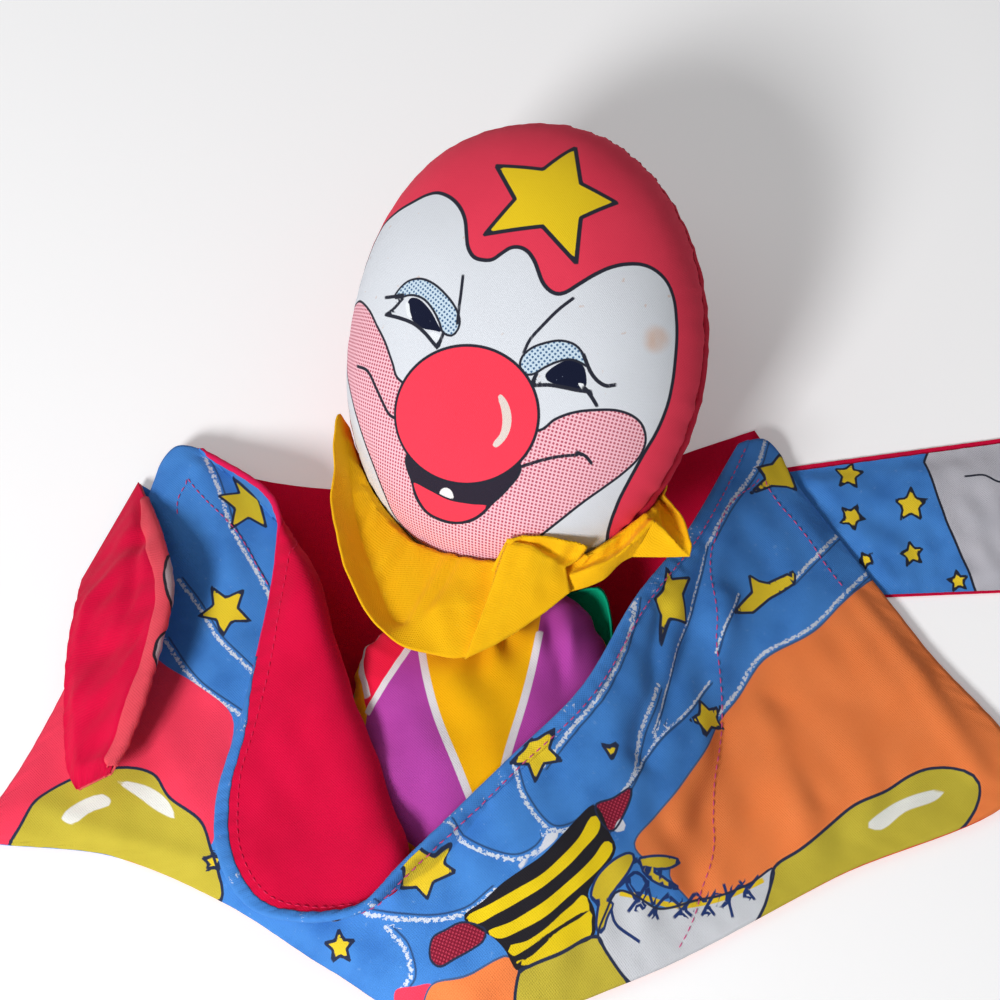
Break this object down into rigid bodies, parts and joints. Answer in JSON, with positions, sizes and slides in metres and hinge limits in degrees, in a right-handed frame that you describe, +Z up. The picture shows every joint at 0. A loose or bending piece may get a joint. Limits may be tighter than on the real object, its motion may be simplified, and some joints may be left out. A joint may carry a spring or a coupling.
{
  "type": "clown doll",
  "caption": "Soft cotton clown doll with a stuffed head, a pleated ruff, a lined bag-shaped costume with an open mouth, and two flat arms.",
  "frame": {"origin": "middle of the flat underside of the costume's back panel, which lies on the table", "axes": "+Z up out of the table towards the face, +X to the picture's right, towards the flat arm, +Y towards the crown"},
  "size_m": [0.4563, 0.3236, 0.1125],
  "materials": {
    "costume_print": "matt printed cotton in blue, salmon, orange and mustard",
    "crimson_lining": "matt crimson cotton",
    "torso_print": "matt printed cotton in red, purple and yellow",
    "green_back": "matt green cotton",
    "face_print": "matt printed cotton in white, red, pink and black",
    "red_back": "matt red cotton",
    "ruff_cotton": "matt yellow cotton",
    "filling": "loose polyester wadding"
  },
  "bodies": {
    "costume": {"back_outer": "costume_print", "back_lining": "crimson_lining", "front_outer": "costume_print", "front_lining": "crimson_lining", "torso_front": "torso_print", "torso_back": "green_back", "torso_stuffing": "filling", "left_arm_root_front": "costume_print", "left_arm_root_back": "crimson_lining"},
    "neck": {"neck_gather": "torso_print", "ruff": "ruff_cotton"},
    "head": {"head_front": "face_print", "head_back": "red_back", "head_stuffing": "filling"},
    "left_arm": {"left_arm_front": "costume_print", "left_arm_back": "crimson_lining"},
    "right_arm": {"right_arm_front": "costume_print", "right_arm_back": "crimson_lining"}
  },
  "joints": [
    {"name": "neck_tilt", "type": "hinge", "parent": "costume", "child": "neck", "pos_m": [0.009, 0.035, 0.02], "axis": [0, 0, 1], "range_deg": [-17, 25], "deforming": ["ruff", "neck_gather"]},
    {"name": "neck_nod", "type": "hinge", "parent": "neck", "child": "head", "pos_m": [0.01, 0.0465, 0.0263], "axis": [0.9848, -0.174, 0], "range_deg": [0, 50], "deforming": ["ruff", "neck_gather"]},
    {"name": "left_arm_fold", "type": "hinge", "parent": "costume", "child": "left_arm", "pos_m": [-0.1392, 0.07492, 0.00185], "axis": [-0.4, -0.9165, 0], "range_deg": [0, 125]},
    {"name": "right_arm_fold", "type": "hinge", "parent": "costume", "child": "right_arm", "pos_m": [0.1465, 0.0755, 0.0045], "axis": [0.5736, -0.8192, 0], "range_deg": [0, 150]}
  ]
}
